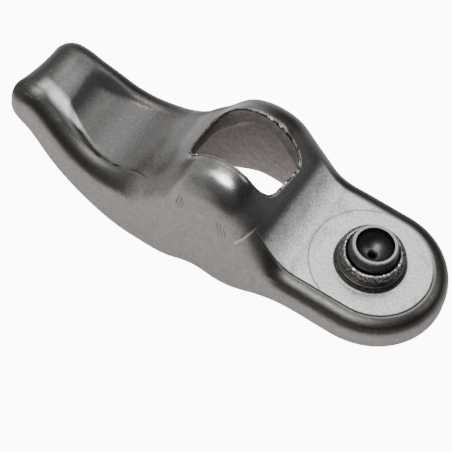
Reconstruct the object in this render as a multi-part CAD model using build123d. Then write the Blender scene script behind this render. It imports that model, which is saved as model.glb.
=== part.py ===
from build123d import *
import os
from math import asin, atan2, cos, degrees, hypot, radians, sin, sqrt

# A stamped steel rocker arm, lying open side down.
#
# Working frame: the flat pad's top face is the plane z = 0, the socket's
# axis is x = 0, y = 0, and the valve nose points to -X.  The body is the
# same on both sides of y = 0.  After everything is shaped, all pieces are
# turned together so that the lower rim stands on the floor.

# ---- sheet and shoulders -------------------------------------------------
sheet = 3.0
shoulder = 4.3
pad_shoulder = 3.9
inside_corner = 1.4
flank_r = 10.5
flank_reach = 24.25
flank_ahead = 1.45

# ---- top line seen from the side: circles joined by tangent lines ---------
nose_x = -78.9
nose_z = -2.5
nose_r = 5.5
saddle_share = 0.4034
saddle_fill = 0.354
saddle_z = -4.24
crest_x = -32.3
crest_z = 16.95
crest_r = 8.6
foot_run = 21.5
foot_r = 8.4
pad_run = 1.8

# ---- the tip: slightly hollow across, its end slightly askew --------------
tip_hollow = 0.4
tip_hollow_run = 6.0
nose_lean = 0.13

# ---- valve seat: coined into the saddle between the two shoulders ---------
seat_ahead = 0.9
seat_tighter = 1.6
seat_depth = 1.16
seat_half_sweep = 54.0
seat_ramp = 2.9
seat_wall = 0.3
seat_lift = 0.25
seat_clear = 0.02
seat_land = 0.15

# ---- half width of the pad, and how much narrower the body is elsewhere ---
pad_half = 16.0
fore_narrowing = [(0.0, 5.6), (0.191, 4.2), (0.513, 2.3), (0.792, 0.9)]
aft_narrowing = [(0.107, 0.2), (0.665, 0.0)]
end_x = 1.3

# ---- lower rim: heights at shares of the way nose-crest and crest-foot ----
fore_rim = [(-0.281, -3.6), (-0.131, -4.2), (-0.002, -6.6), (0.101, -10.0), (0.204, -12.6), (0.307, -14.6),
            (0.408, -16.2), (0.513, -17.2), (0.605, -17.2), (0.7, -16.5), (0.794, -15.7), (0.882, -14.1),
            (0.953, -12.3)]
aft_rim = [(0.037, -11.6), (0.223, -11.8), (0.409, -11.3), (0.586, -9.6), (0.758, -7.8), (0.944, -6.6),
           (1.223, -6.2), (1.688, -6.1)]

# ---- window through the hump: corners from the crest, slightly askew ------
window = [(-10.5, -6.9), (9.4, -7.2), (10.6, 7.4), (-9.9, 6.8)]
window_near_corner = 4.4
window_far_corner = 2.8

# ---- collar drawn up from the pad, open in the middle ---------------------
bore_r = 4.9
ledge_z = 2.3
lip_r = 5.8
lip_wall = 0.25
lip_z = 3.8
collar_r = 7.05
collar_edge_z = 3.0
foot_ring_r = 7.6
foot_ring_rise = 0.35
foot_ring_top = 0.95

# ---- ball socket pressed into the collar ----------------------------------
ball_r = 4.1
rim_z = 6.7
rim_round = 0.15
cup_r = 4.8
step_r = 5.2
step_z = 4.8
waist_r = 5.4
plug_end = -3.5
plug_chamfer = 0.4
oil_hole_r = 0.75
oil_mouth_r = 1.15
oil_mouth_deep = 0.35

# ---- how the skin is built ------------------------------------------------
first_gap = 1.2
gap_growth = 1.18
widest_gap = 2.9
gap_count = 26
seat_stations = 10
quarter_pull = 0.5523
quarter_dip = 1 - sqrt(0.5)
least_sink = 0.01
over = 5.0

# ---- places that follow from the sizes above ------------------------------
nose_span = crest_x - nose_x
saddle_x = nose_x + saddle_share * nose_span
saddle_r = saddle_fill * nose_span
foot_x = crest_x + foot_run
pad_from = foot_x + pad_run
flank_x = crest_x - flank_ahead
seat_x = saddle_x - seat_ahead
seat_r = saddle_r - seat_tighter


def along(fore, aft):
    """Points at shares of the way from nose to crest, then from crest to foot."""
    points = [(nose_x + share * nose_span, value) for share, value in fore]
    return points + [(crest_x + share * foot_run, value) for share, value in aft]


rim = along(fore_rim, aft_rim)
rim_tip = (end_x + pad_half, rim[-1][1])
skirt_z = min(z for _, z in rim) - over
outline = [(x, pad_half - less) for x, less in along(fore_narrowing, aft_narrowing)] + [(pad_from, pad_half)]
side = Spline(outline, tangents=[(1, 0), (1, 0)])


def top_circles(inset):
    """Circle centres with signed radii: hills positive, valleys negative."""
    return [
        (nose_x, nose_z, nose_r - inset),
        (saddle_x, saddle_z + saddle_r, -saddle_r - inset),
        (crest_x, crest_z - crest_r, crest_r - inset),
        (foot_x, foot_r, -foot_r - inset),
    ]


def headings(circles):
    """Heading of the top line where it enters and leaves each circle."""
    angles = [0.0]
    for (xa, za, ra), (xb, zb, rb) in zip(circles, circles[1:]):
        reach = hypot(xb - xa, zb - za)
        angles.append(atan2(zb - za, xb - xa) - asin((ra - rb) / reach))
    return angles + [0.0]


def on_circle(circle, angle):
    """Point of a circle where the top line has the heading angle."""
    return (circle[0] - circle[2] * sin(angle), circle[1] + circle[2] * cos(angle))


def height(x, inset):
    """Height of the top line at x, for the skin pushed in by inset."""
    circles = top_circles(inset)
    angles = headings(circles)
    for i, circle in enumerate(circles):
        enter = on_circle(circle, angles[i])
        leave = on_circle(circle, angles[i + 1])
        if x < enter[0]:
            before = on_circle(circles[i - 1], angles[i])
            share = (x - before[0]) / (enter[0] - before[0])
            return before[1] + share * (enter[1] - before[1])
        if x <= leave[0]:
            rise = sqrt(circle[2] ** 2 - (x - circle[0]) ** 2)
            return circle[1] + (rise if circle[2] > 0 else -rise)
    return -inset


def half_width(x):
    """Half the outer width at x."""
    if x >= pad_from:
        return pad_half
    low = 0.0
    high = 1.0
    for _ in range(48):
        middle = (low + high) / 2
        if side.position_at(middle).X < x:
            low = middle
        else:
            high = middle
    return side.position_at(middle).Y


def corner_radius(x, inset):
    """Shoulder radius at x: large beside the hump, the plain one elsewhere."""
    share = min(abs(x - flank_x) / flank_reach, 1.0)
    swell = (1 - share ** 2) ** 2
    plain = shoulder if x < flank_x else pad_shoulder
    radius = plain + (flank_r - plain) * swell - inset
    return max(radius, inside_corner) if inset else radius


def easing(x, start, stop):
    """One at start, nothing from stop on, smooth between."""
    share = min(max((stop - x) / (stop - start), 0.0), 1.0)
    return share * share * (3 - 2 * share)


def hollow(x, inset):
    """How far the middle of the roof sinks below its sides: the tip, and the seat's underside."""
    sink = tip_hollow * easing(x, nose_x, nose_x + tip_hollow_run)
    if inset:
        sink += seat_depth * easing(abs(x - seat_x), 0, seat_r)
    return sink


def corner_edges(start, square, end, inset):
    """Shoulder from start to end: a quarter round outside, two bevels inside."""
    if inset:
        middle = tuple(s + quarter_dip * (a - s + b - s) for a, s, b in zip(start, square, end))
        return [Line(start, middle), Line(middle, end)]

    def pulled(point):
        return tuple(a + quarter_pull * (s - a) for a, s in zip(point, square))

    return [Bezier(start, pulled(start), pulled(end), end)]


def section(x, inset, bottom):
    """Cross-section of the skin at x, down to bottom."""
    wide = half_width(x) - inset
    high = height(x, inset)
    r = corner_radius(x, inset)
    lean = nose_lean * easing(x, nose_x, saddle_x)
    sink = hollow(x, inset)

    def at(y, z):
        return (x + lean * y, y, z)

    if sink > least_sink:
        roof = ThreePointArc(at(r - wide, high), at(0, high - sink), at(wide - r, high))
    else:
        roof = Line(at(r - wide, high), at(wide - r, high))
    edges = [Line(at(-wide, bottom), at(-wide, high - r))]
    edges += corner_edges(at(-wide, high - r), at(-wide, high), at(r - wide, high), inset)
    edges += [roof]
    edges += corner_edges(at(wide - r, high), at(wide, high), at(wide, high - r), inset)
    edges += [Line(at(wide, high - r), at(wide, bottom)), Line(at(wide, bottom), at(-wide, bottom))]
    return make_face(edges)


def nose(inset):
    """The rolled-over tip, with its skirt straight below."""
    axis = Axis((nose_x, 0, nose_z), (-nose_lean, -1, 0))
    roll = revolve(section(nose_x, inset, nose_z), axis, 90)
    level = [f for f in roll.faces() if abs(f.normal_at().Z) > 0.99]
    skirt = min(level, key=lambda f: abs(f.center().Z - nose_z))
    return roll + extrude(skirt, nose_z - skirt_z, dir=(0, 0, -1))


def rounded_end(inset):
    """The half-round end of the pad."""
    wide = pad_half - inset
    r = corner_radius(end_x, inset)

    def at(y, z):
        return (end_x, y, z)

    edges = [Line(at(0, skirt_z), at(0, -inset)), Line(at(0, -inset), at(wide - r, -inset))]
    edges += corner_edges(at(wide - r, -inset), at(wide, -inset), at(wide, -inset - r), inset)
    edges += [Line(at(wide, -inset - r), at(wide, skirt_z)), Line(at(wide, skirt_z), at(0, skirt_z))]
    return revolve(make_face(edges), Axis((end_x, 0, 0), (0, 0, 1)), -180)


def skin(inset):
    """Solid filling everything under the skin pushed in by inset."""
    gaps = [min(first_gap * gap_growth ** i, widest_gap) for i in range(gap_count)]
    stretch = (pad_from - nose_x) / sum(gaps)
    stations = [nose_x + stretch * sum(gaps[:i]) for i in range(gap_count)] + [pad_from]
    middle = loft([section(x, inset, skirt_z) for x in stations])
    pad = extrude(section(pad_from, inset, skirt_z), end_x - pad_from, dir=(1, 0, 0))
    return middle + nose(inset) + pad + rounded_end(inset)


def seat_section(sweep):
    """Section of the coining tool, sweep degrees round from its lowest place."""
    x = seat_x + seat_r * sin(radians(sweep))
    low = saddle_z - seat_depth + seat_r * (1 - cos(radians(sweep)))
    crease = half_width(x) - corner_radius(x, 0) - seat_land
    ramp_share = max(-sweep / seat_half_sweep, 0.0)
    sole = crease - seat_wall - seat_ramp * ramp_share
    brim = max(height(x, 0) + seat_lift * ramp_share, low + seat_clear)
    top = brim + seat_depth
    points = [(-sole, low), (sole, low), (crease, brim), (crease + over, top), (-crease - over, top),
              (-crease, brim)]
    return make_face(Polyline(*[(x, y, z) for y, z in points], close=True))


def seat_tool():
    """Coining tool of the valve seat: round sole, sides sloping out to the shoulders."""
    step = 2 * seat_half_sweep / (seat_stations - 1)
    return loft([seat_section(i * step - seat_half_sweep) for i in range(seat_stations)])


def below_rim():
    """Everything under the curved lower rim, to be cut away."""
    far = rim_tip[0] + over
    low = skirt_z - over
    corners = [rim[-1], (far, rim_tip[1]), (far, low), (rim[0][0], low), rim[0]]
    face = make_face([Spline(rim), Polyline(*corners)])
    return extrude(Plane.XZ * face, pad_half + over, both=True)


def turned(points):
    """Solid of revolution about the socket axis from (radius, z) points."""
    return revolve(Plane.XZ * make_face(Polyline(*points, close=True)), Axis.Z, 360)


def window_hole():
    """Upright block with the window's outline."""
    face = make_face(Polyline(*[(crest_x + x, y) for x, y in window], close=True))
    face = fillet([v for v in face.vertices() if v.Y < 0], window_near_corner)
    face = fillet([v for v in face.vertices() if v.Y > window_far_corner], window_far_corner)
    return extrude(face, crest_z + over)


def make_body():
    shell = skin(0) - skin(sheet)
    shell -= seat_tool()
    shell -= below_rim()
    shell -= window_hole()
    root = -sheet / 2
    shell += turned([(0, root), (0, lip_z), (lip_r + lip_wall, lip_z), (collar_r, collar_edge_z),
                     (collar_r, foot_ring_top), (foot_ring_r, foot_ring_rise), (foot_ring_r, root)])
    return shell - turned([(0, -2 * sheet), (0, 2 * lip_z), (lip_r, 2 * lip_z), (lip_r, ledge_z),
                           (bore_r, ledge_z), (bore_r, -2 * sheet)])


def make_socket():
    dip = rim_z - sqrt(ball_r ** 2 - oil_mouth_r ** 2)
    half = sqrt(0.5)
    bowl = ThreePointArc((ball_r, rim_z), (ball_r * half, rim_z - ball_r * half), (oil_mouth_r, dip))
    outside = Polyline((oil_mouth_r, dip), (oil_hole_r, dip - oil_mouth_deep), (oil_hole_r, plug_end),
                       (bore_r - plug_chamfer, plug_end), (bore_r, plug_end + plug_chamfer), (bore_r, ledge_z),
                       (waist_r, ledge_z), (waist_r, step_z - rim_round), (step_r, step_z),
                       (cup_r, rim_z - rim_round), (cup_r - rim_round, rim_z), (ball_r, rim_z))
    return revolve(Plane.XZ * make_face([bowl, outside]), Axis.Z, 360)


def resting():
    """Turn about Y and lift that bring the lower rim down onto z = 0."""
    line = Spline(rim)
    spots = [line.position_at(i / 400) for i in range(401)]
    belly = [(p.X, p.Y) for p in spots if p.X < crest_x]
    turn = max(atan2(rim_tip[1] - z, rim_tip[0] - x) for x, z in belly)
    lift = rim_tip[0] * sin(turn) - rim_tip[1] * cos(turn)
    return degrees(turn), lift


turn, lift = resting()
body = make_body()
socket = make_socket()
placed = {}
for name, piece in (("rocker_body", body), ("pushrod_socket", socket)):
    placed[name] = Pos(0, 0, lift) * Rot(0, turn, 0) * piece
box = placed["rocker_body"].bounding_box()
shift = (-(box.min.X + box.max.X) / 2, -(box.min.Y + box.max.Y) / 2, -box.min.Z)
os.makedirs("parts", exist_ok=True)
for name, piece in placed.items():
    piece = Pos(*shift) * piece
    piece.label = name
    export_step(piece, "parts/" + name + ".step")
    print(name, len(piece.solids()), round(piece.volume, 1), piece.bounding_box())
print("turn", round(turn, 3), "lift", round(lift, 3), "shift", [round(v, 4) for v in shift])
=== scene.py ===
"""Looks of a stamped steel rocker arm with a pressed-in push rod socket.

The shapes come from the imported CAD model. This script gives them their finish,
adds the torn lip of the drawn collar and the burr round the window, and sets
the studio.
"""

import math
import random

import bmesh
import bpy
from mathutils import Matrix, Vector
from mathutils.bvhtree import BVHTree


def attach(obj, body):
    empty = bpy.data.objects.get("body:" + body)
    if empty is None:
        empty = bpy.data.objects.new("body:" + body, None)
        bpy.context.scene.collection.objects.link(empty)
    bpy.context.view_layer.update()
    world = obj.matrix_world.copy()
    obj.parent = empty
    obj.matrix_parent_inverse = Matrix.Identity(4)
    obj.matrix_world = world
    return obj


bl_info = {
    "name": "Rocker Arm Looks",
    "version": (1, 0, 0),
    "blender": (4, 5, 0),
    "location": "View3D > Sidebar > Rocker",
    "description": "Finishes a stamped rocker arm and its push rod socket",
    "category": "Object",
}

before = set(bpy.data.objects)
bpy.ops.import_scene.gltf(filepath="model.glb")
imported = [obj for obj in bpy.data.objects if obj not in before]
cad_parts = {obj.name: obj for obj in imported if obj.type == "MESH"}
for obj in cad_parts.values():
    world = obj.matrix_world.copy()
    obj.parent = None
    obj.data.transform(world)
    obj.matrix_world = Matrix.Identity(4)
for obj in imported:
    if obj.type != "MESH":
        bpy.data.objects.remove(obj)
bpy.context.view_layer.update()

MM = 0.001
BODY = "rocker_body"
SOCKET = "pushrod_socket"

# The part's working frame: origin on the socket's axis at the pad's top face.
PAD_TILT = math.radians(9.312)
PAD_ORIGIN = Vector((34.1206, 0.0, 8.819)) * MM
PAD_FRAME = Matrix.Translation(PAD_ORIGIN) @ Matrix.Rotation(PAD_TILT, 4, "Y")


# ---- places on the part ---------------------------------------------------
#
# All in millimetres in the working frame. Most are fades: nothing at the first
# number, full at the second, and where there are two more, they are the values it
# starts and stops at. Others are bands of three: the middle, how far to either side
# it is full, and how far it reaches. A face fade is for a part of the surface's normal.


class Wall:
    """Side walls, the hollow's lining, and the marks on the near wall."""

    upright_face = (0.6, 0.25)
    top_face = (0.25, 0.45)
    outer_y = (-8.6, -10.8)
    outer_start_x = (-54.0, -46.0)
    outer_end_x = (-39.0, -43.0)
    hollow_x = (-47.0, -44.0)
    hollow_z = (-6.3, -7.2)
    inward_face = (0.5, 0.8)
    under_face = (-0.1, -0.4)
    # each patch of nicks: middle in x and z, lean, half width and half height
    nicks = (((-38.0, 7.2), 0.1, 1.3, 1.9), ((-27.6, 6.6), -0.35, 1.4, 2.3))
    nick_waves = 8.0
    nick_stroke = (0.1, 0.8)
    nick_patch = (1.0, 0.7)
    nick_y = (-9.0, -12.0)
    pinch_middle = (-23.1, 6.5)
    pinch_lean = math.radians(55.0)
    pinch_width = (0.0, 0.1, 0.55)
    pinch_length = (0.0, 1.3, 2.4)
    pinch_y = (-10.5, -11.5)


class Pad:
    """Coined pad, its crease and ring, and the foot that rises from it to the hump."""

    end_x = 1.3
    top_z = (-1.6, -0.8)
    border = (12.3, 12.0)
    start_x = (-25.5, -19.0)
    start_z = (7.5, 3.2)
    crease = (12.15, 0.05, 0.32)
    crease_x = (-22.5, -20.0)
    crease_y = (10.0, 2.0, 0.15, 1.0)
    crease_z = (-2.0, -1.0)
    step = (12.0, 12.35)
    step_x = (-22.5, -19.0)
    step_y = (9.0, 3.0)
    ring_middle = (-0.3, -0.3)
    ring = (12.5, 0.04, 0.3)
    ring_x = (1.0, -4.0)
    ring_step = (12.4, 12.6)
    foot = (-17.2, 1.4, 4.2)
    foot_y = (12.4, 11.9)


class Collar:
    """Drawn collar round the socket, painted near-black as shade, with painted shade on its waist and a
    painted highlight line.
    """

    outside_r = (7.95, 7.6)
    start_z = (-0.6, -0.3)
    slope_r = (7.05, 6.85)
    slope_z = (2.5, 2.9)
    waist_start_z = (0.7, 1.0)
    waist_end_z = (3.0, 2.8)
    waist_r = (6.9, 7.0)
    # painted highlight line round the waist
    painted_edge_highlight = (1.25, 0.05, 0.35)


class Window:
    """Punched window in the hump, and the torn rim round it."""

    middle_x = -32.4
    # half its length and half its width
    half = (10.1, 7.1)
    # corner radius on the near and the far side
    corners = (4.4, 2.8)
    # how its ends lean, and how its sides spread along the arm
    lean = 0.063
    flare = 0.022
    sides_y = (-1.0, 1.0)
    high_z = (3.0, 5.0)
    wall = (0.0, 0.25, 0.45)
    wall_x = (-46.0, -44.0)
    # fade along the arm of the painted shade on the window's wall
    dirt_and_shade = (-42.0, -30.0, 0.8, 0.25)
    # torn rim, broken up by ragged noise
    rim = (0.25, 0.1, 0.4)
    rim_face = (0.1, 0.3)
    rim_gaps = (0.42, 0.56)
    rim_side = (-34.0, -22.0)


class Scoop:
    """Scooped end: fold line painted dark as shade, burnished strip and nose with a painted highlight, heel
    and neck.
    """

    # how far to the side the fold line runs, as the sum of two fades
    fold_y = ((-72.0, -61.0, -7.5, -8.6), (-53.0, -46.5, 0.0, -1.7))
    fold = (0.0, 0.08, 0.35)
    fold_start_x = (-70.0, -62.0)
    fold_end_x = (-47.0, -52.0)
    fold_face = (0.1, 0.4)
    # dark spots on the fold line
    spot = (0.05, 0.3, 0.7)
    spots_x = ((-61.6, 0.5, 1.1), (-57.2, 0.4, 0.9))
    strip_y = (-77.0, -58.0, -4.6, -7.6)
    strip_half = (-76.0, -64.0, 2.1, 0.6)
    # the strip and its seam are bands in half widths of the strip
    strip = (0.0, 0.2, 1.25)
    strip_start_x = (-80.5, -77.0)
    strip_end_x = (-60.0, -71.0)
    strip_face = (0.3, 0.7)
    seam = (0.0, 0.4, 1.1)
    seam_x = (-70.5, 1.6, 3.6)
    seam_face = (0.3, 0.5)
    nose_x = (-76.0, 0.5, 3.2)
    nose_near_y = (-4.5, -2.5)
    nose_far_y = (7.0, 2.0)
    heel_x = (-50.0, -59.0)
    neck_x = (-46.0, 3.0, 6.5)
    neck_face = (-0.35, -0.6)


class Hump:
    """Places of the hump, each a band of y, a band of x and a fade of z: the brow and the crest are rubbed
    and get a painted highlight, and below the brow gets painted shade.
    """

    brow = ((-10.3, 0.2, 1.0), (-32.2, 1.8, 4.8), (13.0, 14.0))
    # below the brow: painted shade that darkens a highlight the curved surface catches
    under_brow = ((-12.2, 0.3, 1.5), (-31.5, 5.0, 9.0), (11.5, 13.0))
    crest = ((8.8, 0.4, 1.4), (-27.3, 1.5, 4.0), (9.0, 11.0))


class Shoulder:
    """Rounded shoulders of the heel, the far side, the pad and the nose, painted darker as shade."""

    heel_y = ((-81.0, -63.0, -5.8, -8.5), (-53.0, -46.5, 0.0, -1.7))
    heel_edge = (0.0, -1.2)
    heel_end_x = (-45.5, -53.0)
    far_y = (7.5, 11.0)
    far_x = (-14.0, -20.0)
    pad_reach = (12.4, 13.0)
    pad_x = (-22.0, -19.0)
    nose_x = (-75.5, -78.5, 0.0, 0.85)
    face = (0.1, 0.45)
    near_y = (-4.0, -7.0)
    near_x = (-45.0, -25.0, 1.0, 0.4)


class Cup:
    """Ball socket: bowl, oil mouth and worn rim."""

    # how the oxide's colour is scaled inside and outside the bowl: painted light in the bowl, painted shade
    # on the cup's outside
    bowl_r = (3.7, 3.9, 1.5, 0.65)
    rim_z = (6.5, 6.75)
    rim_r = (3.8, 4.05)
    rim_wander = 0.25
    oil_ring = (1.3, 0.1, 0.4)
    oil_z = (1.0, 1.5)


class Lip:
    """Torn lip that stands on the collar's mouth."""

    r = 5.8
    z = 3.8
    root = 0.3
    # how far out from r each point of the profile stands, from the inside
    outs = (0.02, 0.03, 0.17, 0.34, 0.42)
    lowest = 0.02
    low_tooth = 0.35
    sway = 0.05
    sway_kept = 0.6
    inner_sway = 0.3
    outer_rise = 0.8
    outer_drop = 0.02


class Burr:
    """Ragged edge that the punch left round the window's top."""

    corner_steps = 9
    # ranges of chance: its lap onto the hump, and the heights of its crown and brink
    lap = (0.1, 0.3)
    crown = (0.01, 0.06)
    brink = (-0.02, 0.06)
    least_tuck = 0.02
    least_drop = 0.3
    sunk = 0.05
    root = 0.05
    # the search for the hump's edge, going outward from inside the window
    probe_height = 30.0
    probe_start = 1.0
    probe_step = 0.04
    probe_steps = 60
    # where its steel is rubbed bright, and its lighter near side
    bright_face = (0.2, 0.5)
    bright_side = (-34.0, -22.0, 0.1, 1.0)
    near_y = (-1.0, -5.0)


class Grit:
    """Noises, each as how many to the millimetre, detail and roughness, with a fade."""

    hairs = ((1.0, 5.0, 0.7), (0.62, 0.7))
    # rubbed: breaks up the rubbed patches that carry the painted highlight
    rubbed = ((3.2, 5.0, 0.8), (0.38, 0.62, 0.65, 1.0))
    peened = ((2.3, 6.0, 0.85), (0.36, 0.64))
    stain = ((0.22, 5.0, 0.6), (0.5, 0.7))
    speckle = ((2.8, 6.0, 0.85), (0.45, 0.6))
    sand = ((1.7, 6.0, 0.85), (0.36, 0.64, 0.84, 1.16))
    torn = ((1.5, 4.0, 0.7), (0.42, 0.58))
    burr = ((0.9, 5.0, 0.7), (0.48, 0.6))
    # this noise has no fade of its own
    ragged = (1.6, 6.0, 0.75)
    # detail and roughness of the shared grain, and the fade of both
    fine_grain = (3.0, 0.7)
    broad_grain = (4.0, 0.6)
    grain = (0.3, 0.7)
    # how hairlines are drawn out along the arm
    hair_stretch = (0.35, 2.6, 2.6)


class Share:
    """How strongly each mark covers what is under it."""

    shoulders = 0.8
    burnish_and_highlight = 0.8
    nose = 0.2
    brow = 0.3
    crest = 0.15
    under_brow = 0.45
    stain = 0.5
    pinch = 0.22
    hairs = 0.25
    ring = 0.45
    nicks = 0.5
    dirt_and_shade = 0.85
    collar_specks = 0.5
    oil_ring = 0.2


class Depth:
    """Relief of the marks in millimetres, negative for cuts."""

    pad_step = 0.07
    peened = 0.006
    crease = -0.08
    ring = 0.02
    fold = -0.08
    nicks = -0.05
    pinch = 0.12
    slope = 0.2
    hole_wall = 0.3
    rim = 0.08


class Dull:
    """Roughness of the lesser finishes, and how much the grain changes it."""

    grain = 0.05
    shoulders = 0.38
    lining = 0.6
    collar = 0.42
    dirt_and_shade = 0.7
    socket_grain = 0.08
    # dull and bright patches
    torn = (0.45, 0.28)
    burr = (0.5, 0.3)


# Grains to the millimetre and their depth in millimetres, and blotches to a grain.
SOCKET_GRAIN = (5.0, 0.003)
TORN_GRAIN = (4.0, 0.01)
BLOTCHES_PER_GRAIN = 0.16

# Softly worn places: how far their shading leans, and the direction it leans to.
FOOT_LEAN = (0.6, (0.557, 0.0, 0.83))
NECK_LEAN = (0.45, (-0.36, -0.08, 0.93))
SHOULDER_LEAN = (0.36, (0.2, -0.8, 0.56))
UNDER_BROW_LEAN = (0.2, (0.2, -0.8, 0.56))
SEAM_LEAN = (0.85, (0.62, 0.0, 0.785))
BROW_LEAN = (0.33, (0.2225, -0.465, 0.857))

# Rounded edges are tighter at the pad: the fade along the arm, and the pad's share.
SOFT_X = (-20.0, -30.0)
SOFT_PAD_SHARE = 0.5
SOFT_SAMPLES = 10

# Spacing of the nodes in a material's rows.
NODES_IN_ROW = 8
NODE_GAP = (200, 260)


# ---- node helpers ---------------------------------------------------------


class Graph:
    """Adds nodes to a node tree and links them, placing them in rows."""

    def __init__(self, tree):
        self.tree = tree
        self.tree.nodes.clear()
        self.count = 0

    def node(self, kind, settings=None, **inputs):
        made = self.tree.nodes.new(kind)
        row, column = divmod(self.count, NODES_IN_ROW)
        made.location = (column * NODE_GAP[0], -row * NODE_GAP[1])
        self.count += 1
        for name, value in (settings or {}).items():
            setattr(made, name, value)
        for name, value in inputs.items():
            self.feed(made.inputs[name.replace("_", " ")], value)
        return made

    def feed(self, socket, value):
        """Links a socket, or sets it; a plain colour gets its alpha."""
        if isinstance(value, bpy.types.NodeSocket):
            self.tree.links.new(value, socket)
        elif socket.type == "RGBA" and len(value) == 3:
            socket.default_value = (*value, 1.0)
        else:
            socket.default_value = value

    def math(self, operation, *values, clamp=False):
        made = self.node("ShaderNodeMath", {"operation": operation, "use_clamp": clamp})
        for socket, value in zip(made.inputs, values):
            self.feed(socket, value)
        return made.outputs[0]

    def chain(self, operation, values):
        total = values[0]
        for value in values[1:]:
            total = self.math(operation, total, value)
        return total

    def add(self, *values):
        return self.chain("ADD", values)

    def times(self, *values):
        return self.chain("MULTIPLY", values)

    def most(self, *values):
        return self.chain("MAXIMUM", values)

    def less(self, value, taken, clamp=False):
        return self.math("SUBTRACT", value, taken, clamp=clamp)

    def size(self, value):
        return self.math("ABSOLUTE", value)

    def ramp(self, value, low, high, start=0.0, stop=1.0):
        """Smooth step of value from start at low to stop at high."""
        settings = {"interpolation_type": "SMOOTHSTEP", "clamp": True}
        return self.node(
            "ShaderNodeMapRange", settings,
            Value=value, From_Min=low, From_Max=high, To_Min=start, To_Max=stop,
        ).outputs[0]

    def line(self, value, middle, full, faint):
        """One where value is within full of middle, fading to nothing at faint."""
        return self.ramp(self.size(self.less(value, middle)), faint, full)

    def length(self, x, y):
        joined = self.node("ShaderNodeCombineXYZ", X=x, Y=y).outputs[0]
        made = self.node("ShaderNodeVectorMath", {"operation": "LENGTH"}, Vector=joined)
        return made.outputs["Value"]

    def parts(self, vector):
        made = self.node("ShaderNodeSeparateXYZ", Vector=vector)
        return made.outputs["X"], made.outputs["Y"], made.outputs["Z"]

    def mixed(self, kind, share, first, second):
        made = self.node("ShaderNodeMix", {"data_type": kind})
        self.feed(made.inputs["Factor"], share)
        self.feed(made.inputs["A"], first)
        self.feed(made.inputs["B"], second)
        return made.outputs["Result"]

    def mix(self, share, first, second):
        return self.mixed("RGBA", share, first, second)

    def blend(self, share, first, second):
        return self.mixed("FLOAT", share, first, second)

    def lean(self, normal, mask, worn):
        """Normal bent towards a fixed direction where the mask is."""
        share, toward = worn
        bent = self.mixed("VECTOR", self.times(mask, share), normal, toward)
        made = self.node("ShaderNodeVectorMath", {"operation": "NORMALIZE"}, Vector=bent)
        return made.outputs["Vector"]

    def scaled(self, vector, scale):
        made = self.node("ShaderNodeVectorMath", {"operation": "MULTIPLY"})
        self.feed(made.inputs[0], vector)
        self.feed(made.inputs[1], scale)
        return made.outputs["Vector"]

    def noise(self, vector, scale, detail, roughness):
        return self.node(
            "ShaderNodeTexNoise", Vector=vector, Scale=scale, Detail=detail, Roughness=roughness
        ).outputs["Fac"]

    def grit(self, vector, noise, fade):
        """Noise broken up into patches by its fade."""
        return self.ramp(self.noise(vector, *noise), *fade)

    def place(self):
        """Place on the surface in millimetres, in the part's working frame."""
        spot = self.node("ShaderNodeTexCoord").outputs["Object"]
        return self.node(
            "ShaderNodeMapping", {"vector_type": "TEXTURE"},
            Vector=spot, Location=PAD_ORIGIN, Rotation=(0.0, PAD_TILT, 0.0), Scale=(MM, MM, MM),
        ).outputs["Vector"]

    def facing(self):
        """Parts of the surface's own normal."""
        return self.parts(self.node("ShaderNodeNewGeometry").outputs["Normal"])

    def steel(self, colour, rough, height=None, normal=None):
        """Metal shader with its relief in millimetres, joined to the output."""
        shader = self.node(
            "ShaderNodeBsdfPrincipled", Base_Color=colour, Roughness=rough, Metallic=1.0
        )
        if height is not None:
            bump = self.node("ShaderNodeBump", Strength=1.0, Distance=MM, Height=height)
            if normal is not None:
                self.feed(bump.inputs["Normal"], normal)
            self.feed(shader.inputs["Normal"], bump.outputs["Normal"])
        self.show("ShaderNodeOutputMaterial", shader)

    def show(self, kind, shader):
        """Joins a shader to the tree's output."""
        self.node(kind, Surface=shader.outputs[0])


def new_material(name):
    material = bpy.data.materials.new(name)
    material.use_nodes = True
    return material, Graph(material.node_tree)


def steel_grain(graph, place, grains_per_mm, depth):
    """Places the shared grain group: its Tone, Blotch and Height in millimetres."""
    name = "Steel Grain"
    tree = bpy.data.node_groups.get(name) or steel_grain_group(name)
    made = graph.node("ShaderNodeGroup", {"node_tree": tree})
    graph.feed(made.inputs["Place"], place)
    graph.feed(made.inputs["Grains per mm"], grains_per_mm)
    graph.feed(made.inputs["Depth"], depth)
    return made.outputs


def steel_grain_group(name):
    """Fine tumbled grain: how light a grain is, soft blotches, and height in millimetres."""
    tree = bpy.data.node_groups.new(name, "ShaderNodeTree")
    for label, way, kind in (
        ("Place", "INPUT", "NodeSocketVector"),
        ("Grains per mm", "INPUT", "NodeSocketFloat"),
        ("Depth", "INPUT", "NodeSocketFloat"),
        ("Tone", "OUTPUT", "NodeSocketFloat"),
        ("Blotch", "OUTPUT", "NodeSocketFloat"),
        ("Height", "OUTPUT", "NodeSocketFloat"),
    ):
        tree.interface.new_socket(name=label, in_out=way, socket_type=kind)
    graph = Graph(tree)
    given = graph.node("NodeGroupInput").outputs
    result = graph.node("NodeGroupOutput").inputs
    fine = graph.noise(given["Place"], given["Grains per mm"], *Grit.fine_grain)
    broad_scale = graph.times(given["Grains per mm"], BLOTCHES_PER_GRAIN)
    broad = graph.noise(given["Place"], broad_scale, *Grit.broad_grain)
    graph.feed(result["Tone"], graph.ramp(fine, *Grit.grain))
    graph.feed(result["Blotch"], graph.ramp(broad, *Grit.grain))
    graph.feed(result["Height"], graph.times(fine, given["Depth"]))
    return tree


# ---- marks on the body ----------------------------------------------------


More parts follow.
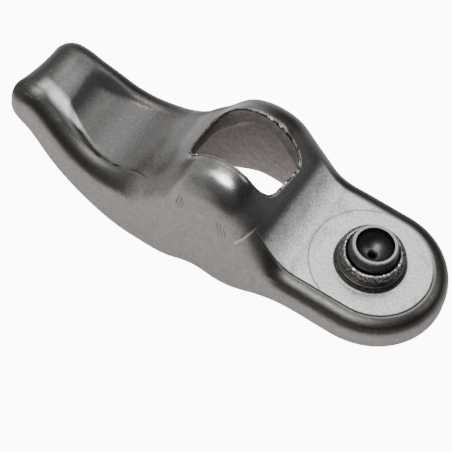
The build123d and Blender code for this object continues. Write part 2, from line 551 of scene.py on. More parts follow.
class BodyMarks:
    """Masks of the body's places and marks, each from nothing to one."""

    def __init__(self, graph):
        self.graph = graph
        self.place = graph.place()
        self.x, self.y, self.z = graph.parts(self.place)
        self.face_x, self.face_y, self.face_z = graph.facing()
        self.top = graph.ramp(self.face_z, *Wall.top_face)
        self.ragged = graph.noise(self.place, *Grit.ragged)
        self.find_walls()
        self.find_pad()
        self.find_collar()
        self.find_window()
        self.find_scoop()
        self.find_rubbed_and_painted_light()
        self.find_shoulders()
        # Darker marks: painted shade in the pad's crease, the fold, the ring and the window's wall, with
        # the dark nicks and spots.
        self.dirt_and_shade = graph.most(
            self.crease, self.fold, graph.times(self.ring, Share.ring),
            graph.times(self.nicks, Share.nicks), self.hole_wall_shade,
        )

    def side_line(self, ramps):
        """How far to the side a line along the arm runs."""
        return self.graph.add(*(self.graph.ramp(self.x, *ramp) for ramp in ramps))

    def patch(self, y_band, x_band, z_fade):
        graph = self.graph
        across, along = graph.line(self.y, *y_band), graph.line(self.x, *x_band)
        return graph.times(across, along, graph.ramp(self.z, *z_fade))

    def find_walls(self):
        graph, x, y, z = self.graph, self.x, self.y, self.z
        self.upright = graph.ramp(graph.size(self.face_z), *Wall.upright_face)
        outer = graph.times(
            graph.ramp(y, *Wall.outer_y),
            graph.ramp(x, *Wall.outer_start_x),
            graph.ramp(x, *Wall.outer_end_x),
        )
        inward = graph.times(graph.math("SIGN", y), self.face_y, -1.0)
        hollow = graph.most(graph.ramp(x, *Wall.hollow_x), graph.ramp(z, *Wall.hollow_z))
        self.wall = graph.most(self.upright, outer)
        self.lining = graph.most(
            graph.times(graph.ramp(inward, *Wall.inward_face), hollow),
            graph.ramp(self.face_z, *Wall.under_face),
        )
        self.nicks = graph.most(*(self.nick_patch(*patch) for patch in Wall.nicks))
        self.pinch = self.pinch_mark()

    def nick_patch(self, middle, lean, half_width, half_height):
        """Patch of short upright nicks on the near wall."""
        graph = self.graph
        up = graph.less(self.z, middle[1])
        along = graph.less(graph.less(self.x, middle[0]), graph.times(up, lean))
        patch = graph.length(
            graph.math("DIVIDE", along, half_width), graph.math("DIVIDE", up, half_height)
        )
        strokes = graph.math("SINE", graph.times(along, Wall.nick_waves))
        return graph.times(
            graph.ramp(patch, *Wall.nick_patch),
            graph.ramp(strokes, *Wall.nick_stroke),
            graph.ramp(self.y, *Wall.nick_y),
        )

    def pinch_mark(self):
        """Slanted pinch on the near wall."""
        graph = self.graph
        over, up = (graph.less(*pair) for pair in zip((self.x, self.z), Wall.pinch_middle))
        cos, sin = math.cos(Wall.pinch_lean), math.sin(Wall.pinch_lean)
        along = graph.add(graph.times(over, cos), graph.times(up, sin))
        off = graph.add(graph.times(over, -sin), graph.times(up, cos))
        return graph.times(
            graph.line(off, *Wall.pinch_width),
            graph.line(along, *Wall.pinch_length),
            graph.ramp(self.y, *Wall.pinch_y),
        )

    def find_pad(self):
        graph, x, y, z = self.graph, self.x, self.y, self.z
        reach = self.reach = graph.length(graph.most(graph.less(x, Pad.end_x), 0.0), y)
        on_top = graph.ramp(z, *Pad.top_z)
        self.pad = graph.times(
            graph.ramp(reach, *Pad.border),
            graph.ramp(x, *Pad.start_x),
            graph.ramp(z, *Pad.start_z),
            on_top,
        )
        self.crease = graph.times(
            graph.line(reach, *Pad.crease),
            graph.ramp(x, *Pad.crease_x),
            graph.ramp(y, *Pad.crease_y),
            graph.ramp(z, *Pad.crease_z),
        )
        self.pad_step = graph.times(
            graph.ramp(reach, *Pad.step),
            graph.ramp(x, *Pad.step_x),
            on_top,
            graph.ramp(y, *Pad.step_y),
        )
        ring_r = graph.length(*(graph.less(*pair) for pair in zip((x, y), Pad.ring_middle)))
        self.ring = graph.times(graph.line(ring_r, *Pad.ring), graph.ramp(x, *Pad.ring_x), on_top)
        self.ring_step = graph.times(graph.ramp(ring_r, *Pad.ring_step), on_top)
        foot_side = graph.ramp(graph.size(y), *Pad.foot_y)
        self.foot = graph.times(graph.line(x, *Pad.foot), foot_side, self.top)
        stain = graph.times(graph.grit(self.place, *Grit.stain), Share.stain)
        self.peened = graph.less(graph.grit(self.place, *Grit.peened), stain, clamp=True)

    def find_collar(self):
        graph, z = self.graph, self.z
        from_axis = graph.length(self.x, self.y)
        above_foot = graph.ramp(z, *Collar.start_z)
        self.collar = graph.times(graph.ramp(from_axis, *Collar.outside_r), above_foot)
        self.slope = graph.times(
            graph.ramp(from_axis, *Collar.slope_r), graph.ramp(z, *Collar.slope_z)
        )
        self.waist = graph.times(
            graph.ramp(z, *Collar.waist_start_z),
            graph.ramp(z, *Collar.waist_end_z),
            graph.ramp(from_axis, *Collar.waist_r),
        )
        # Painted highlight: a bright line round the collar's waist.
        self.painted_edge_highlight = graph.line(z, *Collar.painted_edge_highlight)
        self.speckle = graph.grit(self.place, *Grit.speckle)

    def window_edge(self):
        """Distance in plan from the window's outline, positive outside it."""
        graph = self.graph
        half_x, half_y = Window.half
        along = graph.less(graph.less(self.x, Window.middle_x), graph.times(self.y, Window.lean))
        width = graph.math("MULTIPLY_ADD", along, Window.flare, half_y)
        across = graph.times(graph.math("DIVIDE", self.y, width), half_y)
        corner = graph.ramp(self.y, *Window.sides_y, *Window.corners)
        over_x = graph.add(graph.size(along), corner, -half_x)
        over_y = graph.add(graph.size(across), corner, -half_y)
        outside = graph.length(graph.most(over_x, 0.0), graph.most(over_y, 0.0))
        inside = graph.math("MINIMUM", graph.most(over_x, over_y), 0.0)
        return graph.less(graph.add(outside, inside), corner)

    def find_window(self):
        graph = self.graph
        edge = self.window_edge()
        high = graph.ramp(self.z, *Window.high_z)
        side = graph.add(self.x, self.y)
        self.hole_wall = graph.times(
            graph.line(edge, *Window.wall), self.upright, graph.ramp(self.x, *Window.wall_x), high
        )
        # Painted shade: the window's wall darker towards the scoop's end.
        self.hole_wall_shade = graph.times(self.hole_wall, graph.ramp(side, *Window.dirt_and_shade))
        self.rim = graph.times(
            graph.line(edge, *Window.rim),
            graph.ramp(self.face_z, *Window.rim_face),
            graph.ramp(self.ragged, *Window.rim_gaps),
            graph.ramp(side, *Window.rim_side),
            high,
        )

    def find_scoop(self):
        graph, x, y = self.graph, self.x, self.y
        away = graph.less(y, self.side_line(Scoop.fold_y))
        fold = graph.times(
            graph.line(away, *Scoop.fold),
            graph.ramp(x, *Scoop.fold_start_x),
            graph.ramp(x, *Scoop.fold_end_x),
        )
        spots = graph.times(
            graph.line(away, *Scoop.spot),
            graph.most(*(graph.line(x, *spot) for spot in Scoop.spots_x)),
        )
        face = graph.ramp(self.face_z, *Scoop.fold_face)
        self.fold = graph.times(graph.most(fold, spots), face)
        self.heel = graph.ramp(x, *Scoop.heel_x)
        neck_face = graph.ramp(self.face_x, *Scoop.neck_face)
        self.neck = graph.times(graph.line(x, *Scoop.neck_x), neck_face, self.top)

    def find_rubbed_and_painted_light(self):
        graph, x, y = self.graph, self.x, self.y
        strip_off = graph.less(y, graph.ramp(x, *Scoop.strip_y))
        strip_off = graph.math("DIVIDE", strip_off, graph.ramp(x, *Scoop.strip_half))
        strip = graph.times(
            graph.line(strip_off, *Scoop.strip),
            graph.ramp(x, *Scoop.strip_start_x),
            graph.ramp(x, *Scoop.strip_end_x),
            graph.ramp(self.face_z, *Scoop.strip_face),
        )
        self.seam = graph.times(
            graph.line(strip_off, *Scoop.seam),
            graph.line(x, *Scoop.seam_x),
            graph.ramp(self.face_z, *Scoop.seam_face),
        )
        nose = graph.times(
            graph.line(x, *Scoop.nose_x),
            graph.ramp(y, *Scoop.nose_near_y),
            graph.ramp(y, *Scoop.nose_far_y),
        )
        self.brow = self.patch(*Hump.brow)
        self.under_brow = self.patch(*Hump.under_brow)
        # Painted highlight, partly rubbed steel: the strip, the nose, the brow and the crest are painted
        # bright.
        bright = graph.most(
            strip,
            graph.times(nose, Share.nose),
            graph.times(self.brow, Share.brow),
            graph.times(self.patch(*Hump.crest), Share.crest),
        )
        self.burnish_and_highlight = graph.times(bright, graph.grit(self.place, *Grit.rubbed))
        self.hairs = graph.grit(graph.scaled(self.place, Grit.hair_stretch), *Grit.hairs)

    def find_shoulders(self):
        graph, x, y = self.graph, self.x, self.y
        heel_off = graph.less(y, self.side_line(Shoulder.heel_y))
        places = graph.most(
            graph.times(
                graph.ramp(heel_off, *Shoulder.heel_edge), graph.ramp(x, *Shoulder.heel_end_x)
            ),
            graph.times(graph.ramp(y, *Shoulder.far_y), graph.ramp(x, *Shoulder.far_x)),
            graph.times(graph.ramp(self.reach, *Shoulder.pad_reach), graph.ramp(x, *Shoulder.pad_x)),
            graph.ramp(x, *Shoulder.nose_x),
        )
        rounded = graph.times(places, graph.ramp(self.face_z, *Shoulder.face))
        self.near_side = graph.times(
            rounded, graph.ramp(y, *Shoulder.near_y), graph.ramp(x, *Shoulder.near_x)
        )
        # Painted shade: the shoulders and the place below the brow get a dark colour that stands in for the
        # dark room they reflect.
        self.shoulders = graph.most(rounded, graph.times(self.under_brow, Share.under_brow))


# ---- finishes -------------------------------------------------------------


def collar_colour(graph, marks, finish):
    """Near-black painted shade with real speckles, a torn slope towards the mouth, and a waist in painted
    shade with one painted highlight line.
    """
    specks = graph.times(marks.speckle, Share.collar_specks)
    skin = graph.mix(specks, finish.collar_dark, finish.collar_light)
    torn = graph.mix(marks.speckle, finish.collar_dark, finish.torn_colour)
    # Painted shade on the waist, with a painted highlight line round it.
    waist = graph.mix(marks.painted_edge_highlight, finish.dirt_and_shade_colour, finish.collar_light)
    return graph.mix(marks.waist, graph.mix(marks.slope, skin, torn), waist)


def body_colour(graph, marks, grain, finish):
    colour = graph.mix(grain["Tone"], finish.dark_colour, finish.light_colour)
    layers = (
        (marks.heel, graph.mix(grain["Tone"], finish.heel_dark, finish.heel_light)),
        # Painted shade on the rounded shoulders and below the brow.
        (graph.times(marks.shoulders, Share.shoulders), finish.shoulder_shade_colour),
        (marks.wall, graph.mix(grain["Blotch"], finish.wall_dark, finish.wall_light)),
        (marks.pad, graph.mix(marks.peened, finish.pad_dark, finish.pad_light)),
        # Painted highlight, partly rubbed steel, on the strip, the nose, the brow and the crest.
        (graph.times(marks.burnish_and_highlight, Share.burnish_and_highlight), finish.burr_and_highlight_colour),
        (graph.times(marks.pinch, Share.pinch), finish.pad_light),
        (graph.times(marks.hairs, Share.hairs), finish.pad_light),
        # The lining's warm tone is its own; it is made lighter than the steel outside to stand in for light
        # from the floor: partly painted light.
        (marks.lining, graph.mix(grain["Blotch"], finish.lining_dark, finish.lining_light)),
        # Painted shade in the creases and the window's wall, with dark nicks and spots.
        (graph.times(marks.dirt_and_shade, Share.dirt_and_shade), finish.dirt_and_shade_colour),
        # The collar: near-black painted shade with speckles, its waist in painted shade with a painted
        # highlight line.
        (marks.collar, collar_colour(graph, marks, finish)),
        (marks.rim, finish.burr_and_highlight_colour),
    )
    for mask, layer in layers:
        colour = graph.mix(mask, colour, layer)
    return graph.scaled(colour, graph.grit(marks.place, *Grit.sand))


def body_roughness(graph, marks, grain, finish):
    least, greatest = finish.roughness - Dull.grain, finish.roughness + Dull.grain
    rough = graph.blend(grain["Tone"], greatest, least)
    layers = (
        (marks.heel, finish.heel_roughness),
        (marks.shoulders, Dull.shoulders),
        (marks.wall, finish.wall_roughness),
        (marks.burnish_and_highlight, finish.roughness),
        (marks.pad, finish.pad_roughness),
        (marks.lining, Dull.lining),
        (marks.collar, Dull.collar),
        (marks.dirt_and_shade, Dull.dirt_and_shade),
    )
    for mask, layer in layers:
        rough = graph.blend(mask, rough, layer)
    return rough


def body_relief(graph, marks, grain):
    """Height of the marks in millimetres, on top of the grain's."""
    layers = (
        (marks.pad_step, Depth.pad_step),
        (graph.times(marks.pad, marks.peened), Depth.peened),
        (marks.crease, Depth.crease),
        (marks.ring_step, Depth.ring),
        (marks.fold, Depth.fold),
        (marks.nicks, Depth.nicks),
        (marks.pinch, Depth.pinch),
        (graph.times(marks.slope, marks.speckle), Depth.slope),
        (graph.times(marks.hole_wall, marks.ragged), Depth.hole_wall),
        (marks.rim, Depth.rim),
    )
    return graph.add(grain["Height"], *(graph.times(mask, depth) for mask, depth in layers))


def worn_normal(graph, marks, finish):
    """Tumbled edges rounded off, with the softly worn places leaning further."""
    reach = finish.soft_edge * MM
    radius = graph.ramp(marks.x, *SOFT_X, SOFT_PAD_SHARE * reach, reach)
    normal = graph.node("ShaderNodeBevel", {"samples": SOFT_SAMPLES}, Radius=radius).outputs["Normal"]
    for mask, worn in (
        (marks.foot, FOOT_LEAN),
        (marks.neck, NECK_LEAN),
        (marks.near_side, SHOULDER_LEAN),
        (marks.under_brow, UNDER_BROW_LEAN),
        (marks.seam, SEAM_LEAN),
        (marks.brow, BROW_LEAN),
    ):
        normal = graph.lean(normal, mask, worn)
    return normal


def body_steel(finish):
    """Stamped and tumbled steel of the rocker body."""
    material, graph = new_material("stamped_steel")
    marks = BodyMarks(graph)
    grain = steel_grain(graph, marks.place, finish.grains_per_mm, finish.grain_depth)
    graph.steel(
        body_colour(graph, marks, grain, finish),
        body_roughness(graph, marks, grain, finish),
        body_relief(graph, marks, grain),
        worn_normal(graph, marks, finish),
    )
    return material


def socket_steel(finish):
    """Dark oxide steel of the socket, worn bright on its rim, with painted light in the bowl and painted
    shade on its outside.
    """
    material, graph = new_material("socket_steel")
    place = graph.place()
    x, y, z = graph.parts(place)
    from_axis = graph.length(x, y)
    grain = steel_grain(graph, place, *SOCKET_GRAIN)
    uneven_z = graph.add(z, graph.times(grain["Tone"], Cup.rim_wander))
    worn = graph.times(graph.ramp(uneven_z, *Cup.rim_z), graph.ramp(from_axis, *Cup.rim_r))
    oil_ring = graph.times(graph.line(from_axis, *Cup.oil_ring), graph.ramp(z, *Cup.oil_z))
    colour = graph.mix(grain["Tone"], finish.oxide_dark, finish.oxide_light)
    # Painted light in the bowl and painted shade on the cup's outside wall.
    colour = graph.scaled(colour, graph.ramp(from_axis, *Cup.bowl_r))
    colour = graph.mix(graph.times(oil_ring, Share.oil_ring), colour, finish.worn_colour)
    colour = graph.mix(worn, colour, finish.worn_colour)
    rough = graph.blend(grain["Tone"], finish.roughness, finish.roughness - Dull.socket_grain)
    graph.steel(colour, rough, grain["Height"])
    return material


def torn_steel(finish):
    """Bright freshly torn steel of the collar's lip."""
    material, graph = new_material("torn_steel")
    place = graph.place()
    grain = steel_grain(graph, place, *TORN_GRAIN)
    bright = graph.grit(place, *Grit.torn)
    colour = graph.mix(bright, finish.collar_light, finish.burr_and_highlight_colour)
    graph.steel(colour, graph.blend(bright, *Dull.torn), grain["Height"])
    return material


def burr_steel(finish):
    """Dark punched edge of the window, rubbed bright on top."""
    material, graph = new_material("burr_steel")
    place = graph.place()
    x, y, _ = graph.parts(place)
    bright = graph.times(
        graph.ramp(graph.facing()[2], *Burr.bright_face),
        graph.grit(place, *Grit.burr),
        graph.ramp(graph.add(x, y), *Burr.bright_side),
    )
    dull = graph.mix(graph.ramp(y, *Burr.near_y), finish.collar_dark, finish.heel_light)
    colour = graph.mix(bright, dull, finish.burr_and_highlight_colour)
    graph.steel(colour, graph.blend(bright, *Dull.burr))
    return material


def dress(node, material):
    """Gives a CAD node its material."""
    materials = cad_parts[node].data.materials
    materials.clear()
    materials.append(material)


# ---- pieces ---------------------------------------------------------------


def ragged_ring(name, profiles):
    """Closed ring through profiles of points in millimetres in the working frame."""
    shape = bmesh.new()
    loops = []
    for profile in profiles:
        loops.append([shape.verts.new(PAD_FRAME @ (Vector(point) * MM)) for point in profile])
    for here, after in zip(loops, loops[1:] + loops[:1]):
        for i in range(len(here)):
            j = (i + 1) % len(here)
            shape.faces.new((here[i], here[j], after[j], after[i]))
    bmesh.ops.recalc_face_normals(shape, faces=shape.faces)
    return new_object(name, shape)


def new_object(name, shape):
    """Object in the scene with the given shape as its mesh."""
    mesh = bpy.data.meshes.new(name)
    shape.to_mesh(mesh)
    shape.free()
    return place_in_scene(name, mesh)


def place_in_scene(name, data):
    made = bpy.data.objects.new(name, data)
    bpy.context.scene.collection.objects.link(made)
    return made


def torn_lip(finish):
    """Ragged edge left standing round the collar's mouth."""
    chance = random.Random(finish.seed)
    profiles = []
    steps = finish.teeth * 2
    sway = 0.0
    for step in range(steps):
        turn = 2 * math.pi * step / steps
        sway = Lip.sway_kept * sway + chance.uniform(-Lip.sway, Lip.sway)
        rise = chance.uniform(Lip.lowest, finish.tooth_height) * (1.0 if step % 2 else Lip.low_tooth)
        sways = (0.0, sway * Lip.inner_sway, sway, abs(sway), 0.0)
        rises = (-Lip.root, rise, rise * Lip.outer_rise, -Lip.outer_drop, -Lip.root)
        profile = []
        for out, shift, up in zip(Lip.outs, sways, rises):
            r = Lip.r + out + shift
            profile.append((r * math.cos(turn), r * math.sin(turn), Lip.z + up))
        profiles.append(profile)
    return ragged_ring("torn_lip", profiles)


def window_outline():
    """Points round the window's outline from its middle, with their outward directions."""
    half_x, half_y = Window.half
    steps = Burr.corner_steps
    spots = []
    for sign_x, sign_y, start in ((-1, -1, 180), (1, -1, 270), (1, 1, 0), (-1, 1, 90)):
        corner = Window.corners[0 if sign_y < 0 else 1]
        middle = Vector((sign_x * (half_x - corner), sign_y * (half_y - corner)))
        for step in range(steps):
            turn = math.radians(start + 90 * step / (steps - 1))
            away = Vector((math.cos(turn), math.sin(turn)))
            spots.append((middle + away * corner, away))
    return spots


def even_spots(spots, gap):
    """The outline again, with points about gap apart."""
    even = []
    for (here, away), (after, away_after) in zip(spots, spots[1:] + spots[:1]):
        count = max(1, round((after - here).length / gap))
        for i in range(count):
            share = i / count
            even.append((here.lerp(after, share), away.lerp(away_after, share).normalized()))
    return even


def hump_edge(tree, flat, away):
    """Where the hump's top surface begins, going outward from inside the window."""
    down = PAD_FRAME.to_3x3() @ Vector((0.0, 0.0, -1.0))
    for step in range(Burr.probe_steps):
        spot = flat + away * (step * Burr.probe_step - Burr.probe_start)
        start = PAD_FRAME @ (Vector((*spot, Burr.probe_height)) * MM)
        hit = tree.ray_cast(start, down)[0]
        if hit is not None:
            return spot, (PAD_FRAME.inverted() @ hit).z / MM
    raise RuntimeError("no edge found round the window")


def window_burr(finish):
    """Ragged edge left by the punch round the top of the window."""
    chance = random.Random(finish.seed + 1)
    tree = BVHTree.FromObject(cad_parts[BODY], bpy.context.evaluated_depsgraph_get())
    profiles = []
    for spot, away in even_spots(window_outline(), finish.burr_gap):
        width = 1.0 + Window.flare * spot.x / Window.half[1]
        flat = Vector((Window.middle_x + spot.x + Window.lean * spot.y, spot.y * width))
        flat, top = hump_edge(tree, flat, away)
        lap = chance.uniform(*Burr.lap)
        tuck = chance.uniform(Burr.least_tuck, finish.burr_reach)
        drop = chance.uniform(Burr.least_drop, finish.burr_drop)
        profile = (
            (finish.burr_lap + lap, -Burr.sunk),
            (finish.burr_lap, chance.uniform(*Burr.crown)),
            (-tuck / 2, chance.uniform(*Burr.brink)),
            (-tuck, -drop / 2),
            (Burr.root, -drop),
        )
        profiles.append([(*(flat + away * out), top + rise) for out, rise in profile])
    return ragged_ring("window_burr", profiles)


# ---- what a user may change -----------------------------------------------


def colour_value(name, description, default):
    return bpy.props.FloatVectorProperty(
        name=name, description=description, subtype="COLOR", size=3, min=0.0, max=1.0, default=default
    )


def measure(name, description, default, least=0.0):
    return bpy.props.FloatProperty(name=name, description=description, min=least, default=default)


def share_value(name, description, default):
    return bpy.props.FloatProperty(
        name=name, description=description, subtype="FACTOR", min=0.0, max=1.0, default=default
    )


def count_value(name, description, default, least=0):
    return bpy.props.IntProperty(name=name, description=description, min=least, default=default)


class BodyFinish(bpy.types.PropertyGroup):
    """Finish of the stamped body, its lip and its burr"""

    dark_colour: colour_value("Dark grain", "Steel colour in the grain's hollows", (0.25, 0.242, 0.232))
    light_colour: colour_value("Light grain", "Steel colour on the grain's tops", (0.33, 0.32, 0.307))
    heel_dark: colour_value("Heel, dark", "Dark grains of the scooped end", (0.15, 0.146, 0.14))
    heel_light: colour_value("Heel, light", "Light grains of the scooped end", (0.2, 0.195, 0.188))
    # Painted shade: this dark colour stands in for the dark room the shoulders reflect.
    shoulder_shade_colour: colour_value("Shoulders", "Darker skin of the round shoulders", (0.05, 0.0475, 0.043))
    wall_dark: colour_value("Wall, dark", "Darker blotches of the satin walls", (0.268, 0.247, 0.238))
    wall_light: colour_value("Wall, light", "Lighter blotches of the satin walls", (0.31, 0.287, 0.277))
    pad_dark: colour_value("Pad, dark", "Dark grains of the coined pad", (0.5, 0.495, 0.485))
    pad_light: colour_value("Pad, light", "Light grains of the coined pad", (1.0, 0.995, 0.98))
    # Partly painted light: the lining's own warm tone, made lighter to stand in for light from the floor.
    lining_dark: colour_value("Lining, dark", "Darker blotches inside the channel", (0.37, 0.33, 0.32))
    lining_light: colour_value("Lining, light", "Lighter blotches inside the channel", (0.46, 0.412, 0.398))
    # Painted shade: the collar's near-black colour stands in for the shade round it and the dark its walls
    # reflect; the burr's far side uses it too.
    collar_dark: colour_value("Collar, dark", "Dark skin of the drawn collar", (0.038, 0.036, 0.034))
    collar_light: colour_value("Collar, light", "Speckles on the drawn collar", (0.24, 0.235, 0.225))
    torn_colour: colour_value("Torn slope", "Bright flecks of the torn slope", (0.5, 0.49, 0.475))
    # Also the colour of the painted highlight on the rubbed patches.
    burr_and_highlight_colour: colour_value("Burr", "Bright torn and rubbed edges", (1.0, 0.995, 0.98))
    # Painted shade in the creases, the window's wall and the collar's waist, and the colour of the dark
    # nicks and spots.
    dirt_and_shade_colour: colour_value("Dirt", "Dirt in the creases", (0.03, 0.026, 0.022))
    roughness: share_value("Roughness", "How dull the tumbled steel is", 0.27)
    heel_roughness: share_value("Heel roughness", "How dull the scooped end is", 0.42)
    wall_roughness: share_value("Wall roughness", "How dull the satin walls are", 0.48)
    pad_roughness: share_value("Pad roughness", "How dull the coined pad is", 0.36)
    soft_edge: measure("Soft edge", "How far the tumbled edges are rounded, in millimetres", 1.8)
    grains_per_mm: measure("Grains per mm", "How fine the tumbled grain is", 4.5, 0.1)
    grain_depth: measure("Grain depth", "Height of the grain in millimetres", 0.0022)
    teeth: count_value("Teeth", "Ragged teeth round the collar's lip", 90, 8)
    tooth_height: measure("Tooth height", "Tallest tooth in millimetres", 0.4)
    burr_gap: measure("Burr gap", "Spacing of the window burr's points in millimetres", 0.25, 0.05)
    burr_lap: measure("Burr lap", "How far the burr laps onto the hump in millimetres", 0.12)
    burr_reach: measure("Burr reach", "How far the burr stands into the window in millimetres", 0.22)
    burr_drop: measure("Burr drop", "How far the burr runs down the window's wall in millimetres", 0.75)
    seed: count_value("Seed", "Which raggedness the lip and the burr get", 7)


class SocketFinish(bpy.types.PropertyGroup):
    """Finish of the push rod socket"""

    oxide_dark: colour_value("Oxide, dark", "Dark grains of the oxide", (0.05, 0.048, 0.045))
    oxide_light: colour_value("Oxide, light", "Light grains of the oxide", (0.085, 0.083, 0.079))
    worn_colour: colour_value("Worn rim", "Colour where the oxide is rubbed off", (0.4, 0.392, 0.38))
    roughness: share_value("Roughness", "How dull the socket is", 0.44)


class StudioSettings(bpy.types.PropertyGroup):
    """Floor and room of the studio"""

    floor_colour: colour_value("Floor", "Colour of the floor", (0.92, 0.92, 0.92))
    floor_glow: measure("Floor glow", "Light given off by the floor", 0.25)
    floor_white: measure("Floor white", "How much whiter the floor looks than it lights", 10.0)
    floor_fade: share_value("Floor fade", "How much of its light the floor keeps behind the part", 0.12)
    dark_side: measure("Dark side", "Brightness of the room in front and to the right", 0.06)
    light_side: measure("Light side", "Brightness of the room to the left", 0.68)
    zenith: measure("Ceiling", "Brightness straight above", 0.8)


# ---- stage ----------------------------------------------------------------

# Softboxes: name, degrees from +Y towards +X, degrees up, width and depth in metres, radiance.
SOFTBOXES = (
    ("back_softbox", -8.0, 62.0, (0.85, 0.45), 1.7),
    ("side_softbox", 50.0, 38.0, (0.42, 0.38), 2.6),
    ("front_lamp", 168.0, 65.0, (0.36, 0.26), 17.0),
    ("left_lamp", -140.0, 70.0, (0.20, 0.20), 4.0),
)
SOFTBOX_DISTANCE = 1.0

WHITE = (1.0, 1.0, 1.0)
BLACK = (0.0, 0.0, 0.0)


class Floor:
    """Paper floor in metres, and where behind the part its light fades."""

    half = 1.5
    drop = 0.0001
    roughness = 0.9
    behind_x = 0.85
    behind_y = 0.53
    behind = (0.1, 0.02)


class Room:
    """Fades of the room's brightness to the left and towards the ceiling."""

    left = (0.1, -0.6)
    up = (0.75, 1.0)


class View:
    """Camera: millimetres for its lens, metres and degrees for its place."""

    sensor = 36.0
    lens = 157.5
    nearest = 0.01
    place = (0.1449198, -0.2110938, 0.3417829)
    turn = (36.6163, 2.0335, 32.0186)


def softbox(name, bearing, rise, size, radiance):
    """Area lamp that faces the part from the given direction."""
    bearing, rise = math.radians(bearing), math.radians(rise)
    away = Vector(
        (math.sin(bearing) * math.cos(rise), math.cos(bearing) * math.cos(rise), math.sin(rise))
    )
    data = bpy.data.lights.new(name, "AREA")
    data.shape = "RECTANGLE"
    data.size, data.size_y = size
    data.energy = radiance * math.pi * size[0] * size[1]
    lamp = place_in_scene(name, data)
    lamp.location = away * SOFTBOX_DISTANCE
    lamp.rotation_mode = "QUATERNION"
    lamp.rotation_quaternion = (-away).to_track_quat("-Z", "Y")


def floor_paper(studio):
    """White paper to the camera, that lights the part less from behind it."""
    material, graph = new_material("floor_paper")
    seen = graph.node("ShaderNodeLightPath").outputs["Is Camera Ray"]
    x, y, _ = graph.parts(graph.node("ShaderNodeTexCoord").outputs["Object"])
    behind = graph.add(graph.times(x, Floor.behind_x), graph.times(y, Floor.behind_y))
    lit = graph.most(graph.ramp(behind, *Floor.behind, studio.floor_fade, 1.0), seen)
    glow = graph.times(lit, studio.floor_glow)
    shader = graph.node(
        "ShaderNodeBsdfPrincipled",
        Base_Color=graph.mix(lit, BLACK, studio.floor_colour),
        Roughness=Floor.roughness,
        Emission_Color=WHITE,
        Emission_Strength=graph.math("MULTIPLY_ADD", seen, studio.floor_white, glow),
    )
    graph.show("ShaderNodeOutputMaterial", shader)
    return material


def studio_floor(studio):
    shape = bmesh.new()
    bmesh.ops.create_grid(shape, x_segments=1, y_segments=1, size=Floor.half)
    floor = new_object("floor", shape)
    floor.location = (0.0, 0.0, -Floor.drop)
    floor.data.materials.append(floor_paper(studio))


def studio_room(studio):
    """Room round the part: dim in front and to the right, lighter to the left and above."""
    world = bpy.data.worlds.new("studio")
    bpy.context.scene.world = world
    world.use_nodes = True
    graph = Graph(world.node_tree)
    x, _, z = graph.parts(graph.node("ShaderNodeTexCoord").outputs["Generated"])
    side = graph.ramp(x, *Room.left, studio.dark_side, studio.light_side)
    light = graph.blend(graph.ramp(z, *Room.up), side, studio.zenith)
    shader = graph.node("ShaderNodeBackground", Color=WHITE, Strength=light)
    graph.show("ShaderNodeOutputWorld", shader)


def studio_camera():
    data = bpy.data.cameras.new("camera")
    data.sensor_width = View.sensor
    data.lens = View.lens
    data.clip_start = View.nearest
    camera = place_in_scene("camera", data)
    camera.location = View.place
    camera.rotation_euler = [math.radians(angle) for angle in View.turn]
    bpy.context.scene.camera = camera


# ---- operators ------------------------------------------------------------


class ROCKER_OT_finish_body(bpy.types.Operator):
    """Gives the stamped body its tumbled steel finish"""

    bl_idname = "rocker.finish_body"
    bl_label = "Finish Body"

    def execute(self, context):
        dress(BODY, body_steel(context.scene.rocker_body_finish))
        return {"FINISHED"}


class ROCKER_OT_tear_lip(bpy.types.Operator):
    """Adds the torn lip round the mouth of the drawn collar"""

    bl_idname = "rocker.tear_lip"
    bl_label = "Tear Lip"

    def execute(self, context):
        finish = context.scene.rocker_body_finish
        lip = torn_lip(finish)
        lip.data.materials.append(torn_steel(finish))
        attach(lip, "root")
        return {"FINISHED"}


class ROCKER_OT_burr_window(bpy.types.Operator):
    """Adds the ragged punched edge round the window"""

    bl_idname = "rocker.burr_window"
    bl_label = "Burr Window"

    def execute(self, context):
        finish = context.scene.rocker_body_finish
        burr = window_burr(finish)
        burr.data.materials.append(burr_steel(finish))
        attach(burr, "root")
        return {"FINISHED"}


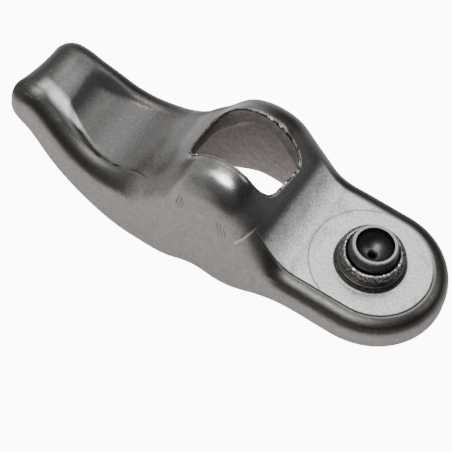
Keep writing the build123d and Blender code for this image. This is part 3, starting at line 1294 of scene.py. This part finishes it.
class ROCKER_OT_finish_socket(bpy.types.Operator):
    """Gives the push rod socket its dark oxide finish and worn rim"""

    bl_idname = "rocker.finish_socket"
    bl_label = "Finish Socket"

    def execute(self, context):
        dress(SOCKET, socket_steel(context.scene.rocker_socket_finish))
        return {"FINISHED"}


class ROCKER_OT_set_stage(bpy.types.Operator):
    """Sets the floor, the room, the softboxes and the camera"""

    bl_idname = "rocker.set_stage"
    bl_label = "Set Stage"

    def execute(self, context):
        studio = context.scene.rocker_studio
        studio_floor(studio)
        studio_room(studio)
        for name, bearing, rise, size, radiance in SOFTBOXES:
            softbox(name, bearing, rise, size, radiance)
        studio_camera()
        return {"FINISHED"}


OPERATORS = (
    ROCKER_OT_finish_body,
    ROCKER_OT_tear_lip,
    ROCKER_OT_burr_window,
    ROCKER_OT_finish_socket,
    ROCKER_OT_set_stage,
)


class ROCKER_PT_looks(bpy.types.Panel):
    """Lists the rocker arm's finishes and the stage"""

    bl_idname = "ROCKER_PT_looks"
    bl_label = "Rocker Arm Looks"
    bl_space_type = "VIEW_3D"
    bl_region_type = "UI"
    bl_category = "Rocker"

    def draw(self, context):
        for operator in OPERATORS:
            self.layout.operator(operator.bl_idname)


CLASSES = (BodyFinish, SocketFinish, StudioSettings, *OPERATORS, ROCKER_PT_looks)


def register():
    for item in CLASSES:
        bpy.utils.register_class(item)
    bpy.types.Scene.rocker_body_finish = bpy.props.PointerProperty(type=BodyFinish)
    bpy.types.Scene.rocker_socket_finish = bpy.props.PointerProperty(type=SocketFinish)
    bpy.types.Scene.rocker_studio = bpy.props.PointerProperty(type=StudioSettings)


def unregister():
    del bpy.types.Scene.rocker_studio
    del bpy.types.Scene.rocker_socket_finish
    del bpy.types.Scene.rocker_body_finish
    for item in reversed(CLASSES):
        bpy.utils.unregister_class(item)


def main():
    register()
    bpy.ops.rocker.finish_body()
    bpy.ops.rocker.tear_lip()
    bpy.ops.rocker.burr_window()
    bpy.ops.rocker.finish_socket()
    bpy.ops.rocker.set_stage()


if __name__ == "__main__":
    main()
